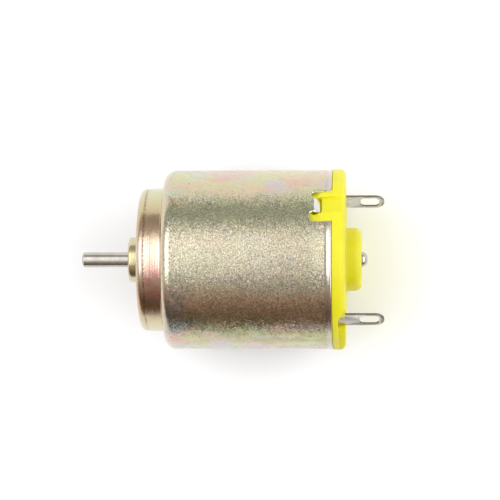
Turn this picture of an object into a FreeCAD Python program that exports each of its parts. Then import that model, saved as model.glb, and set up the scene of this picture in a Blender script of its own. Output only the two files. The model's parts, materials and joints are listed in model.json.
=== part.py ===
import FreeCAD, Part
import math
import os

from FreeCAD import Vector

# Small round brushed DC motor, lying on its side. All lengths are millimetres.
#
# Frame: +X runs along the shaft towards the output end, +Z is up, and the origin is on
# the shaft's axis in the plane of the can's flat nose face.
#
# Every sub-part is drawn with the first terminal straight up. The whole motor is then
# rolled about its shaft to the attitude it rests in. A "clock" angle is counted about
# the shaft from +Z towards +Y.

ROLL_CLOCK = 53.5            # clock angle of the first terminal once the motor is rolled
CRIMP_CLOCKS = (-90, 90)     # crimp notches, before the roll
TERMINAL_CLOCKS = (0, 180)   # terminals, before the roll

# drawn steel can
WALL = 0.5
CAN_R = 11.88
RIM_R = 12.0
NOSE_R = 9.55
NOSE_DRAFT = 0.13            # the drawn nose cup narrows this much towards its face
BOSS_R = 2.98
BOSS_HOLE_R = 1.75
X_BOSS = 1.7                 # front of the bearing boss
X_SHOULDER = -3.3            # step from the nose cup to the full diameter
X_FLARE = -23.2              # where the mouth starts to open
X_RIM = -25.6                # open end of the can
NOSE_ROUND = 0.8
SHOULDER_ROUND = 1.3
STEP_ROUND = 0.3             # inside corner at the foot of the nose cup
BOSS_ROUND = 0.4
BOSS_FOOT_ROUND = 0.25
FLARE_SWELL = 0.05           # growth in radius before the steep end of the flare
FLARE_GENTLE = 1.0           # distances from the rim at which the flare steepens and ends
FLARE_STEEP = 0.5
FLARE_ROUNDS = (4.0, 1.5, 0.6)
RIM_ROUND = 0.16

# crimp notch, seen square on: u runs forward from the rim, t runs around the can
NOTCH_HALF = 2.4
NOTCH_DEPTH = 2.72
NOTCH_CHAMFER = 0.43
NOTCH_BEYOND = 0.6           # how far the cutting prism runs out past the rim
LOBE_STEP = 0.15             # the near relief lobe is this much deeper
FAR_ROUND = 0.42
FAR_LOBE_ROUND = 0.3
NEAR_LOBE_ROUND = 0.5
NEAR_ROUND = 0.55
TAB_FAR = 1.4                # the tab is a little wider on the far side of its centre line
TAB_NEAR = 0.95
TAB_END_FAR = 1.35
TAB_END_NEAR = 0.9
TAB_ROOT_U = 2.36
TAB_END_U = 1.44
TAB_END_R = 11.25            # radius the bent tab reaches with its outer corner
TAB_OVERLAP = 1.0            # length of wall the tab is drawn with beyond its bend
TAB_ROUNDS = (0.3, 0.12, 0.08, 0.2)
TAB_CORNER_ROUND = 0.2
TAB_WAIST_ROUND = 0.8
CRIMP_HALF_ANGLE = 20        # half of the arc a crimp's pieces are drawn over

# moulded endbell
FLANGE_R = 12.0
X_FLANGE = -27.2             # rear face of the flange
X_WALL = -25.2               # inner face of the end wall
X_SKIRT = -21.6              # front end of the skirt inside the can
SKIRT_R = 11.33
SKIRT_INNER_R = 10.2
REAR_BOSS_R = 4.2
X_REAR_BOSS = -29.3
FLANGE_ROUND = 0.75
REAR_BOSS_ROUND = 0.95
MOULD_ROUND = 0.3            # small rounding of moulded corners
RECESS_X = -26.27            # floor of the terminal recess, along the shaft
RECESS_FLAT = 10.4           # height of the recess's flat above the shaft's axis
RECESS_START = -2.6          # where the recess begins, across the terminal, at its floor
RECESS_SLANT = 1.6           # how much further its side reaches at the flange's rear
RECESS_END = 8.0
BUSH_HOLE_R = 1.35
KEY_PROUD = 0.06             # the crimp key stands this proud of the can
KEY_CREST_U = 1.3            # where the key's top starts to slope down, and where it ends
KEY_END_U = 2.2
KEY_GAP = 0.04
KEY_BACKING = 0.7            # thickness added to the skirt behind the key
POCKET_FLOOR_R = TAB_END_R - 0.5
POCKET_U = 2.6               # front of the pocket's well
POCKET_BEHIND = 0.08         # the well's rear wall stands this close to the tab's end
CHANNEL_END = 0.35           # the channel's floor levels out this far before the flange's rear
POCKET_GAP = 0.14

# bearings and shaft
SHAFT_R = 1.0
X_SHAFT_FRONT = 8.0
X_SHAFT_REAR = -30.1
SHAFT_CHAMFER = 0.22
SHAFT_TIP_ROUND = 0.8
GROOVE_LENGTH = 0.55         # oil groove hidden in the mouth of the front boss
GROOVE_DEPTH = 0.16
BUSH_BORE_R = 1.03
FRONT_BUSH_R = 2.5
FRONT_BUSH_LENGTH = 3.1
REAR_BUSH_R = 2.4
REAR_BUSH_LENGTH = 2.9
BUSH_ROUND = 0.25

# terminals: flat lugs standing across the radius
BLADE_R = 9.7                # middle of the sheet's thickness
BLADE_THICK = 0.3
BLADE_HALF = 1.22
X_BLADE_TIP = -32.3
EYE_LENGTH = 2.55
EYE_HALF = 0.86
EYE_ROUND = 0.6
X_EYE = -30.35               # middle of the solder eye
X_LUG = -22.2                # front end of the inner shelf
FOOT_DROP = 1.6              # how far the foot reaches below the blade
SHELF_INNER_Y = -4.2
SHELF_CHEEK = 0.9            # height of the foot above the shelf at its outer end

# field magnets
MAGNET_OUTER_R = 11.3
MAGNET_INNER_R = 8.95
MAGNET_HALF_ANGLE = 64
X_MAGNET_FRONT = -5.0
X_MAGNET_REAR = -20.4
CLIP_SHORTER = 1.5           # the clip stops this far inside each end of the magnets
CLIP_THICK = 0.4
CLIP_LEG_HALF_ANGLE = 1.1
CLIP_LEG_LOW = 0.5           # lower end of the legs, above the magnets' inner face
CLIP_SLACK = 0.3             # clearance to the magnets, in degrees

# rotor
POLES = 3
ROTOR_R = 8.4
POLE_THICK = 1.3
POLE_HALF_ANGLE = 54
STEM_HALF = 1.5
CORE_HUB_R = 3.2
SHEETS = 21
SHEET_PITCH = 0.5
SHEET_THICK = 0.48
X_CORE_FRONT = -7.5
X_CORE_REAR = X_CORE_FRONT - SHEETS * SHEET_PITCH
INSULATOR_THICK = 0.6
INSULATOR_TRIM = 0.2         # the insulators stop this far inside the poles' faces
FRONT_COLLAR = 2.2
REAR_COLLAR = 1.2
COIL_BUILD = 1.9
COIL_LOW = 3.5
COIL_HIGH = 6.9
COIL_ROUND = 1.6
COIL_END_GAP = 0.02
COIL_SIDE_GAP = 0.12
COIL_POLE_GAP = 0.05

# commutator and brushes
COMM_HUB_R = 2.55
COMM_R = 3.0
COMM_GAP_DEG = 8
X_COMM_FRONT = -20.9
X_COMM_REAR = -24.4
COMM_HUB_TAIL = 0.7          # the hub runs on behind the copper by this much
TANG_R = 4.4
TANG_HALF = 0.65
TANG_LONG = 0.5
RING_THICK = 0.5
RING_LONG = 0.6
RING_GAP = 0.05              # between the ring and the tangs
BRUSH_AIR = 0.02
BRUSH_HALF = 0.8
BRUSH_TOP = 4.2
X_BRUSH_FRONT = -22.35
X_BRUSH_REAR = -24.15
LEAF_THICK = 0.15
LEAF_ROOT_Y = -5.8
LEAF_END_Y = 1.3
SHELF_THICK = 0.3

# washers and spacer on the shaft
SPACER_R = 1.9
X_SPACER_FRONT = -2.4
FRONT_WASHER_R = 2.3
X_FRONT_WASHER = -2.3
REAR_WASHER_R = 2.1
X_REAR_WASHER = -25.7
WASHER_THICK = 0.3
WASHER_GAP = 0.02            # radial play of the washers, and between stacked rotor pieces

BEYOND = 1.0                 # how far cutting shapes run past what they cut
WELD = 0.2                   # how far shapes that are joined run into each other

ORIGIN = Vector(0, 0, 0)
AXIS = Vector(1, 0, 0)


# ---------------------------------------------------------------- drawing helpers

def side(a, b):
    """Point of a profile drawn beside the shaft: a along it, b away from it."""
    return Vector(a, 0, b)


def plan(a, b):
    """Point of an outline drawn square on to the top: a along the shaft, b across."""
    return Vector(a, b, 0)


def cross(a, b):
    """Point of an outline drawn along the shaft: a across, b up."""
    return Vector(0, a, b)


def corner(before, here, after, radius):
    """The two tangent points and the middle point of a rounded corner."""
    to_before = (before - here).normalize()
    to_after = (after - here).normalize()
    half = to_before.getAngle(to_after) / 2
    reach = radius / math.tan(half)
    start = here + to_before * reach
    end = here + to_after * reach
    centre = here + (to_before + to_after).normalize() * (radius / math.sin(half))
    middle = centre + (here - centre).normalize() * radius
    return start, middle, end


def outline(points, place=side):
    """Closed flat face. Each point is (a, b) or (a, b, corner radius)."""
    spots = [place(p[0], p[1]) for p in points]
    radii = [p[2] if len(p) > 2 else 0 for p in points]
    stops = []
    for i, here in enumerate(spots):
        if radii[i]:
            after = spots[(i + 1) % len(spots)]
            stops.append(corner(spots[i - 1], here, after, radii[i]))
        else:
            stops.append((here,))
    edges = []
    for i, stop in enumerate(stops):
        if len(stop) == 3:
            edges.append(Part.Arc(*stop).toShape())
        start = stop[-1]
        end = stops[(i + 1) % len(stops)][0]
        if (end - start).Length > 1e-6:
            edges.append(Part.makeLine(start, end))
    return Part.Face(Part.Wire(edges))


def turned(points):
    """Solid of revolution about the shaft."""
    return outline(points).revolve(ORIGIN, AXIS, 360)


def sector(points, half_angle):
    """Part of a solid of revolution, centred on straight up."""
    face = outline(points)
    face.rotate(ORIGIN, AXIS, -half_angle)
    return face.revolve(ORIGIN, AXIS, 2 * half_angle)


def tube(r_out, r_in, x_rear, x_front):
    return turned([(x_rear, r_in), (x_rear, r_out), (x_front, r_out), (x_front, r_in)])


def disc(r, x_rear, x_front):
    return Part.makeCylinder(r, x_front - x_rear, Vector(x_rear, 0, 0), AXIS)


def block(x0, x1, y0, y1, z0, z1):
    return Part.makeBox(x1 - x0, y1 - y0, z1 - z0, Vector(x0, y0, z0))


def at_clock(shape, degrees):
    turned_copy = shape.copy()
    turned_copy.rotate(ORIGIN, AXIS, -degrees)
    return turned_copy


def save(name, shape):
    at_clock(shape, ROLL_CLOCK).exportStep("parts/" + name + ".step")


# ---------------------------------------------------------------- can

def can_shell():
    boss_back = X_BOSS - WALL
    inner_r = CAN_R - WALL
    return turned([
        (X_BOSS, BOSS_HOLE_R),
        (X_BOSS, BOSS_R, BOSS_ROUND),
        (0, BOSS_R, BOSS_FOOT_ROUND),
        (0, NOSE_R - NOSE_DRAFT, NOSE_ROUND),
        (X_SHOULDER, NOSE_R, STEP_ROUND),
        (X_SHOULDER, CAN_R, SHOULDER_ROUND),
        (X_FLARE, CAN_R, FLARE_ROUNDS[0]),
        (X_RIM + FLARE_GENTLE, CAN_R + FLARE_SWELL, FLARE_ROUNDS[1]),
        (X_RIM + FLARE_STEEP, RIM_R, FLARE_ROUNDS[2]),
        (X_RIM, RIM_R, RIM_ROUND),
        (X_RIM, inner_r + FLARE_SWELL),
        (X_RIM + FLARE_GENTLE, inner_r),
        (X_SHOULDER - WALL, inner_r, SHOULDER_ROUND - WALL),
        (X_SHOULDER - WALL, NOSE_R - WALL, STEP_ROUND + WALL),
        (-WALL, NOSE_R - NOSE_DRAFT - WALL, NOSE_ROUND - WALL),
        (-WALL, FRONT_BUSH_R, BOSS_FOOT_ROUND),
        (boss_back, FRONT_BUSH_R),
        (boss_back, BOSS_HOLE_R),
    ])


def notch_prism(gap):
    """Radial prism through a crimp notch, shrunk by a gap on every side."""
    half = NOTCH_HALF - gap
    depth = NOTCH_DEPTH - gap
    root = TAB_ROOT_U + WELD / 4 - gap
    points = [
        (-NOTCH_BEYOND, -half - NOTCH_CHAMFER - NOTCH_BEYOND),
        (NOTCH_CHAMFER, -half),
        (depth, -half, FAR_ROUND),
        (depth, -TAB_FAR - WELD / 2, FAR_LOBE_ROUND),
        (root, -TAB_FAR),
        (root, TAB_NEAR),
        (depth + LOBE_STEP, TAB_NEAR, NEAR_LOBE_ROUND),
        (depth + LOBE_STEP, half, NEAR_ROUND),
        (0, half),
        (-NOTCH_BEYOND, half + WELD),
    ]
    placed = [(X_RIM + p[0], p[1]) + p[2:] for p in points]
    face = outline(placed, plan)
    face.translate(Vector(0, 0, SKIRT_INNER_R - 2 * KEY_BACKING))
    return face.extrude(Vector(0, 0, RIM_R - SKIRT_INNER_R + 3 * KEY_BACKING))


def crimp_tab():
    """Tongue of the can's wall, bent inwards between the two relief lobes."""
    slope = math.atan2(CAN_R - TAB_END_R, TAB_ROOT_U - TAB_END_U)
    inner_u = TAB_END_U + WALL * math.sin(slope)
    inner_r = TAB_END_R - WALL * math.cos(slope)
    inner_bend_u = inner_u + (CAN_R - WALL - inner_r) / math.tan(slope)
    bend_round, end_round, inner_end_round, inner_bend_round = TAB_ROUNDS
    profile = [
        (TAB_ROOT_U + TAB_OVERLAP, CAN_R),
        (TAB_ROOT_U, CAN_R, bend_round),
        (TAB_END_U, TAB_END_R, end_round),
        (inner_u, inner_r, inner_end_round),
        (inner_bend_u, CAN_R - WALL, inner_bend_round),
        (TAB_ROOT_U + TAB_OVERLAP, CAN_R - WALL),
    ]
    strip = sector([(X_RIM + p[0], p[1]) + tuple(p[2:]) for p in profile], CRIMP_HALF_ANGLE)
    base_x = X_RIM + TAB_ROOT_U + TAB_OVERLAP / 2
    end_x = X_RIM + TAB_END_U - WELD / 2
    width = outline([
        (base_x, -TAB_FAR - WELD / 2),
        (X_RIM + TAB_ROOT_U, -TAB_FAR, TAB_WAIST_ROUND),
        (end_x, -TAB_END_FAR, TAB_CORNER_ROUND),
        (end_x, TAB_END_NEAR, TAB_CORNER_ROUND),
        (X_RIM + TAB_ROOT_U, TAB_NEAR, TAB_WAIST_ROUND),
        (base_x, TAB_NEAR),
    ], plan)
    width.translate(Vector(0, 0, SKIRT_INNER_R - BEYOND))
    return strip.common(width.extrude(Vector(0, 0, RIM_R - SKIRT_INNER_R + 2 * BEYOND)))


def motor_can():
    can = can_shell()
    for clock in CRIMP_CLOCKS:
        can = can.cut(at_clock(notch_prism(0), clock))
    for clock in CRIMP_CLOCKS:
        can = can.fuse(at_clock(crimp_tab(), clock))
    return can.removeSplitter()


# ---------------------------------------------------------------- endbell

def endbell_body():
    return turned([
        (X_REAR_BOSS, BUSH_HOLE_R),
        (X_REAR_BOSS, REAR_BOSS_R, REAR_BOSS_ROUND),
        (X_FLANGE, REAR_BOSS_R, MOULD_ROUND),
        (X_FLANGE, FLANGE_R, FLANGE_ROUND),
        (X_RIM, FLANGE_R),
        (X_RIM, SKIRT_R),
        (X_SKIRT, SKIRT_R, MOULD_ROUND),
        (X_SKIRT, SKIRT_INNER_R),
        (X_WALL, SKIRT_INNER_R, MOULD_ROUND),
        (X_WALL, REAR_BUSH_R),
        (X_REAR_BOSS + WALL, REAR_BUSH_R),
        (X_REAR_BOSS + WALL, BUSH_HOLE_R),
    ])


def crimp_key():
    """Raised key that fills a crimp notch, with a thicker piece of skirt behind it."""
    key = sector([
        (X_RIM, SKIRT_R - MOULD_ROUND),
        (X_RIM, CAN_R + KEY_PROUD),
        (X_RIM + KEY_CREST_U, CAN_R - KEY_GAP),
        (X_RIM + KEY_END_U, SKIRT_R),
        (X_RIM + KEY_END_U, SKIRT_R - MOULD_ROUND),
    ], CRIMP_HALF_ANGLE).common(notch_prism(KEY_GAP))
    backing = sector([
        (X_WALL - WELD, SKIRT_INNER_R - KEY_BACKING),
        (X_WALL - WELD, SKIRT_R - WELD),
        (X_SKIRT, SKIRT_R - WELD),
        (X_SKIRT, SKIRT_INNER_R - KEY_BACKING, MOULD_ROUND),
    ], CRIMP_HALF_ANGLE - 1)
    return key.fuse(backing)


def crimp_pocket():
    """Well that takes the bent tab, with a shallow channel sloping up behind it."""
    deep = X_RIM + POCKET_U
    wall = X_RIM + TAB_END_U - POCKET_BEHIND
    top = CAN_R + BEYOND
    well = outline([
        (wall, POCKET_FLOOR_R, MOULD_ROUND),
        (wall, top),
        (deep, top),
        (deep, SKIRT_R - MOULD_ROUND),
        (deep - MOULD_ROUND, POCKET_FLOOR_R),
    ])
    well.translate(Vector(0, -TAB_FAR - POCKET_GAP, 0))
    well = well.extrude(Vector(0, TAB_FAR + TAB_NEAR + 2 * POCKET_GAP, 0))
    channel = outline([
        (wall + WELD / 2, TAB_END_R - POCKET_BEHIND),
        (wall + WELD / 2, top),
        (X_FLANGE - BEYOND / 2, top),
        (X_FLANGE - BEYOND / 2, FLANGE_R - WELD / 4),
        (X_FLANGE + CHANNEL_END, FLANGE_R - WELD),
    ])
    channel.translate(Vector(0, -TAB_END_FAR - POCKET_GAP, 0))
    channel = channel.extrude(Vector(0, TAB_END_FAR + TAB_END_NEAR + 2 * POCKET_GAP, 0))
    return well.fuse(channel)


def terminal_recess():
    """Flat stepped into the flange's rear edge, and the slot the terminal stands in."""
    step = outline([
        (X_FLANGE - WELD, RECESS_START - RECESS_SLANT),
        (RECESS_X, RECESS_START, MOULD_ROUND),
        (RECESS_X, RECESS_END),
        (X_FLANGE - WELD, RECESS_END),
    ], plan)
    step.translate(Vector(0, 0, RECESS_FLAT))
    step = step.extrude(Vector(0, 0, FLANGE_R - RECESS_FLAT + BEYOND))
    low = BLADE_R - BLADE_THICK / 2
    high = BLADE_R + BLADE_THICK / 2
    wide = BLADE_HALF + 2 * KEY_GAP
    mouth = block(X_FLANGE - BEYOND, RECESS_X, -wide, wide, low, RECESS_FLAT + BEYOND / 2)
    slot = block(X_FLANGE - BEYOND, X_WALL + BEYOND / 2, -BLADE_HALF, BLADE_HALF, low, high)
    return step.fuse(mouth).fuse(slot)


def endbell():
    bell = endbell_body()
    for clock in CRIMP_CLOCKS:
        bell = bell.fuse(at_clock(crimp_key(), clock))
    for clock in CRIMP_CLOCKS:
        bell = bell.cut(at_clock(crimp_pocket(), clock))
    for clock in TERMINAL_CLOCKS:
        bell = bell.cut(at_clock(terminal_recess(), clock))
    return bell.removeSplitter()


# ---------------------------------------------------------------- bearings, magnets

def front_bearing():
    front = X_BOSS - WALL
    return turned([
        (front - FRONT_BUSH_LENGTH, BUSH_BORE_R),
        (front - FRONT_BUSH_LENGTH, FRONT_BUSH_R, BUSH_ROUND),
        (front, FRONT_BUSH_R),
        (front, BUSH_BORE_R),
    ])


def rear_bearing():
    rear = X_REAR_BOSS + WALL
    return turned([
        (rear, BUSH_BORE_R),
        (rear, REAR_BUSH_R),
        (rear + REAR_BUSH_LENGTH, REAR_BUSH_R, BUSH_ROUND),
        (rear + REAR_BUSH_LENGTH, BUSH_BORE_R),
    ])


def magnet():
    return sector([
        (X_MAGNET_REAR, MAGNET_INNER_R, MOULD_ROUND),
        (X_MAGNET_REAR, MAGNET_OUTER_R, MOULD_ROUND),
        (X_MAGNET_FRONT, MAGNET_OUTER_R, MOULD_ROUND),
        (X_MAGNET_FRONT, MAGNET_INNER_R, MOULD_ROUND),
    ], MAGNET_HALF_ANGLE)


def magnet_clip():
    """Bowed strip with two legs that push the magnets apart."""
    rear = X_MAGNET_REAR + CLIP_SHORTER
    front = X_MAGNET_FRONT - CLIP_SHORTER
    gap_half = 90 - MAGNET_HALF_ANGLE
    strip = sector([
        (rear, MAGNET_OUTER_R - CLIP_THICK),
        (rear, MAGNET_OUTER_R),
        (front, MAGNET_OUTER_R),
        (front, MAGNET_OUTER_R - CLIP_THICK),
    ], gap_half - CLIP_SLACK)
    leg = sector([
        (rear, MAGNET_INNER_R + CLIP_LEG_LOW),
        (rear, MAGNET_OUTER_R - CLIP_THICK / 2),
        (front, MAGNET_OUTER_R - CLIP_THICK / 2),
        (front, MAGNET_INNER_R + CLIP_LEG_LOW),
    ], CLIP_LEG_HALF_ANGLE)
    for lean in (-1, 1):
        strip = strip.fuse(at_clock(leg, lean * (gap_half - CLIP_SLACK - CLIP_LEG_HALF_ANGLE)))
    return strip.removeSplitter()


# ---------------------------------------------------------------- terminals, brushes

def terminal():
    """Solder lug, its foot on the end wall and the shelf the brush leaf lies on."""
    low = BLADE_R - BLADE_THICK / 2
    high = BLADE_R + BLADE_THICK / 2
    blade = outline([
        (X_BLADE_TIP, -BLADE_HALF, BLADE_HALF - 0.02),
        (X_BLADE_TIP, BLADE_HALF, BLADE_HALF - 0.02),
        (X_WALL + SHELF_THICK, BLADE_HALF),
        (X_WALL + SHELF_THICK, -BLADE_HALF),
    ], plan)
    blade.translate(Vector(0, 0, low))
    blade = blade.extrude(Vector(0, 0, BLADE_THICK))
    eye = outline([
        (X_EYE - EYE_LENGTH / 2, -EYE_HALF, EYE_ROUND),
        (X_EYE - EYE_LENGTH / 2, EYE_HALF, EYE_ROUND),
        (X_EYE + EYE_LENGTH / 2, EYE_HALF, EYE_ROUND),
        (X_EYE + EYE_LENGTH / 2, -EYE_HALF, EYE_ROUND),
    ], plan)
    eye.translate(Vector(0, 0, low - BEYOND))
    blade = blade.cut(eye.extrude(Vector(0, 0, BLADE_THICK + 2 * BEYOND)))
    shelf_top = BRUSH_TOP - BRUSH_AIR
    shelf_low = shelf_top - SHELF_THICK
    foot = outline([
        (-BLADE_HALF, high),
        (BLADE_HALF, high),
        (BLADE_HALF, high - FOOT_DROP),
        (SHELF_INNER_Y, shelf_low),
        (LEAF_ROOT_Y, shelf_low),
        (LEAF_ROOT_Y, shelf_top + SHELF_CHEEK),
    ], cross)
    foot.translate(Vector(X_WALL, 0, 0))
    foot = foot.extrude(Vector(SHELF_THICK, 0, 0))
    shelf = block(X_WALL, X_LUG, LEAF_ROOT_Y, SHELF_INNER_Y, shelf_low, shelf_top)
    return blade.fuse(foot).fuse(shelf).removeSplitter()


def brush_arm():
    return block(X_BRUSH_REAR, X_BRUSH_FRONT, LEAF_ROOT_Y, LEAF_END_Y, BRUSH_TOP, BRUSH_TOP + LEAF_THICK)


def carbon_brush():
    body = block(X_BRUSH_REAR, X_BRUSH_FRONT, -BRUSH_HALF, BRUSH_HALF, COMM_HUB_R, BRUSH_TOP)
    return body.cut(disc(COMM_R + BRUSH_AIR, X_BRUSH_REAR - BEYOND, X_BRUSH_FRONT + BEYOND))


# ---------------------------------------------------------------- rotor

def shaft():
    """Steel shaft with an oil groove hidden in the mouth of the front boss."""
    groove_rear = X_BOSS - GROOVE_LENGTH
    return turned([
        (X_SHAFT_FRONT, 0),
        (X_SHAFT_FRONT, SHAFT_R - SHAFT_CHAMFER),
        (X_SHAFT_FRONT - SHAFT_CHAMFER, SHAFT_R),
        (X_BOSS, SHAFT_R),
        (X_BOSS, SHAFT_R - GROOVE_DEPTH),
        (groove_rear, SHAFT_R - GROOVE_DEPTH),
        (groove_rear, SHAFT_R),
        (X_SHAFT_REAR, SHAFT_R, SHAFT_TIP_ROUND),
        (X_SHAFT_REAR, 0),
    ])


def pole_star(x_rear, thick, trim):
    """Three T-shaped poles on a hub, as one flat sheet."""
    front = x_rear + thick
    star = disc(CORE_HUB_R, x_rear, front)
    stem_top = ROTOR_R - POLE_THICK + 2 * WELD
    stem = block(x_rear, front, -STEM_HALF, STEM_HALF, CORE_HUB_R - 4 * WELD, stem_top)
    head = sector([
        (x_rear, ROTOR_R - POLE_THICK),
        (x_rear, ROTOR_R - trim),
        (front, ROTOR_R - trim),
        (front, ROTOR_R - POLE_THICK),
    ], POLE_HALF_ANGLE)
    pole = stem.fuse(head)
    for number in range(POLES):
        star = star.fuse(at_clock(pole, number * 360 / POLES))
    return star.cut(disc(SHAFT_R, x_rear - BEYOND, front + BEYOND)).removeSplitter()


def rotor_laminations():
    sheets = []
    for number in range(SHEETS):
        sheets.append(pole_star(X_CORE_REAR + number * SHEET_PITCH, SHEET_THICK, 0))
    return Part.makeCompound(sheets)


def insulator(x_rear, collar_rear, collar_front):
    """Moulded end spider with a collar on the shaft that keeps the windings off it."""
    collar = tube(CORE_HUB_R, SHAFT_R, collar_rear, collar_front)
    return pole_star(x_rear, INSULATOR_THICK, INSULATOR_TRIM).fuse(collar).removeSplitter()


def front_insulator():
    return insulator(X_CORE_FRONT, X_CORE_FRONT, X_CORE_FRONT + FRONT_COLLAR)


def rear_insulator():
    return insulator(X_CORE_REAR - INSULATOR_THICK, X_CORE_REAR - REAR_COLLAR, X_CORE_REAR)


def coil_block(grow, rounding):
    """Block around one pole's stem, from the coil's foot to its top."""
    middle = (X_CORE_FRONT + X_CORE_REAR) / 2
    half_long = (X_CORE_FRONT - X_CORE_REAR) / 2 + INSULATOR_THICK + COIL_END_GAP + grow
    half_wide = STEM_HALF + COIL_SIDE_GAP + grow
    body = outline([
        (middle - half_long, -half_wide, rounding),
        (middle + half_long, -half_wide, rounding),
        (middle + half_long, half_wide, rounding),
        (middle - half_long, half_wide, rounding),
    ], plan)
    body.translate(Vector(0, 0, COIL_LOW))
    return body.extrude(Vector(0, 0, COIL_HIGH - COIL_LOW))


def coil():
    """Winding around one pole's stem, kept below the pole's head."""
    winding = coil_block(COIL_BUILD, COIL_ROUND).cut(coil_block(0, 0))
    below_heads = disc(ROTOR_R - POLE_THICK - COIL_POLE_GAP, X_BLADE_TIP, X_SHAFT_FRONT)
    return winding.common(below_heads)


def commutator_hub():
    return tube(COMM_HUB_R, SHAFT_R, X_COMM_REAR - COMM_HUB_TAIL, X_CORE_REAR - REAR_COLLAR - RING_GAP)


def commutator_segment():
    """Copper shell with a tang standing up at its front end for the winding's wire."""
    half = 180 / POLES - COMM_GAP_DEG / 2
    shell = sector([
        (X_COMM_REAR, COMM_HUB_R),
        (X_COMM_REAR, COMM_R),
        (X_COMM_FRONT, COMM_R),
        (X_COMM_FRONT, COMM_HUB_R),
    ], half)
    tang_rear = X_COMM_FRONT - TANG_LONG
    tang = block(tang_rear, X_COMM_FRONT, -TANG_HALF, TANG_HALF, COMM_R - WELD, TANG_R)
    return shell.fuse(tang).removeSplitter()


def commutator_ring():
    front = X_COMM_FRONT - TANG_LONG - RING_GAP
    return tube(COMM_R + RING_THICK, COMM_R, front - RING_LONG, front)


def front_spacer():
    return tube(SPACER_R, SHAFT_R, X_CORE_FRONT + FRONT_COLLAR + WASHER_GAP, X_SPACER_FRONT)


def front_washer():
    return tube(FRONT_WASHER_R, SHAFT_R + WASHER_GAP, X_FRONT_WASHER, X_FRONT_WASHER + WASHER_THICK)


def rear_washer():
    return tube(REAR_WASHER_R, SHAFT_R + WASHER_GAP, X_REAR_WASHER, X_REAR_WASHER + WASHER_THICK)


def build():
    save("motor_can", motor_can())
    save("endbell", endbell())
    save("front_bearing", front_bearing())
    save("rear_bearing", rear_bearing())
    for letter, clock in zip("ab", TERMINAL_CLOCKS):
        save("magnet_" + letter, at_clock(magnet(), clock))
        save("terminal_" + letter, at_clock(terminal(), clock))
        save("brush_arm_" + letter, at_clock(brush_arm(), clock))
        save("carbon_brush_" + letter, at_clock(carbon_brush(), clock))
    for letter, clock in zip("ab", CRIMP_CLOCKS):
        save("magnet_clip_" + letter, at_clock(magnet_clip(), clock))
    save("shaft", shaft())
    save("rotor_laminations", rotor_laminations())
    save("front_insulator", front_insulator())
    save("rear_insulator", rear_insulator())
    for number in range(POLES):
        clock = number * 360 / POLES
        opposite = clock + 180 / POLES
        save("coil_" + str(number + 1), at_clock(coil(), clock))
        save("commutator_segment_" + str(number + 1), at_clock(commutator_segment(), opposite))
    save("commutator_hub", commutator_hub())
    save("commutator_ring", commutator_ring())
    save("front_spacer", front_spacer())
    save("front_washer", front_washer())
    save("rear_washer", rear_washer())


os.makedirs("parts", exist_ok=True)
build()
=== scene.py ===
"""Looks of the small round DC motor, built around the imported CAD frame."""
import json
import math

import bpy
import bmesh
from mathutils import Matrix, Vector, geometry


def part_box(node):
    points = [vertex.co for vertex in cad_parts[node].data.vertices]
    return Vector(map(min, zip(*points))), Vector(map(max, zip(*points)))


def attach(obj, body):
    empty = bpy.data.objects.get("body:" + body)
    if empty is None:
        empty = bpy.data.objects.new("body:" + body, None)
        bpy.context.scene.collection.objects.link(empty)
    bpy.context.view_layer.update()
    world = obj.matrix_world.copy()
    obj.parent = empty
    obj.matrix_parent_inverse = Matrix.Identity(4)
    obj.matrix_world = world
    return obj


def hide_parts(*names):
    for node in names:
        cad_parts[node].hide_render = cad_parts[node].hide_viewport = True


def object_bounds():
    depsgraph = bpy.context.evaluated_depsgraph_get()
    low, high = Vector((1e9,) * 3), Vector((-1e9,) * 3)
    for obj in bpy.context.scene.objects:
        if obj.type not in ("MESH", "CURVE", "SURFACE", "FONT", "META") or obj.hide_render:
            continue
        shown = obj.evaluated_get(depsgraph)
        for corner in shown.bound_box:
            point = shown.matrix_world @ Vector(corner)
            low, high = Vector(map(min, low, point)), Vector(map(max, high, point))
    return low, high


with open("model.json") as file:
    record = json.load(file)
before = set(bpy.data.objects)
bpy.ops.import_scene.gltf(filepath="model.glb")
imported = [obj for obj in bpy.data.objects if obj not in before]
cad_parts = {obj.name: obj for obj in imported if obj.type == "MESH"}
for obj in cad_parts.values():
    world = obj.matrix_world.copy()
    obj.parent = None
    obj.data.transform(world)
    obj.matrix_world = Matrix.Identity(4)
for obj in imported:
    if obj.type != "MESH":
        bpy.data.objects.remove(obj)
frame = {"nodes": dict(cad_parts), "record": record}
nodes = frame["nodes"]
cad_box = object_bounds()

MM = 0.001
ROLL = math.radians(53.5)          # clock angle of the first terminal, from +Z towards +Y

# ---------------------------------------------------------------- sizes, in mm
# Overall places come from the CAD nodes; the small forms below repeat the part's own.


def mm_box(node):
    low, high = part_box(node)
    return [v / MM for v in low], [v / MM for v in high]


can_low, can_high = mm_box("motor_can")
shaft_low, shaft_high = mm_box("shaft")

X_RIM = can_low[0]
X_BOSS = can_high[0]
X_SHAFT_FRONT = shaft_high[0]
X_SHAFT_REAR = shaft_low[0]
RIM_R = (can_high[1] - can_low[1]) / 2
CAN_R = RIM_R - 0.12
SHAFT_R = (shaft_high[1] - shaft_low[1]) / 2

WALL = 0.5
NOSE_R = 9.55
NOSE_DRAFT = 0.13                  # the drawn nose cup narrows this much towards its face
BOSS_R = 2.98
BOSS_HOLE_R = 1.75
BUSH_R = 2.5
X_SHOULDER = -3.3
MOUTH = 4.6                        # length of the mouth patch, forward from the rim
EDGE = 0.17                        # rounding of sheared sheet edges
AROUND = 360                       # columns around the can

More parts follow.
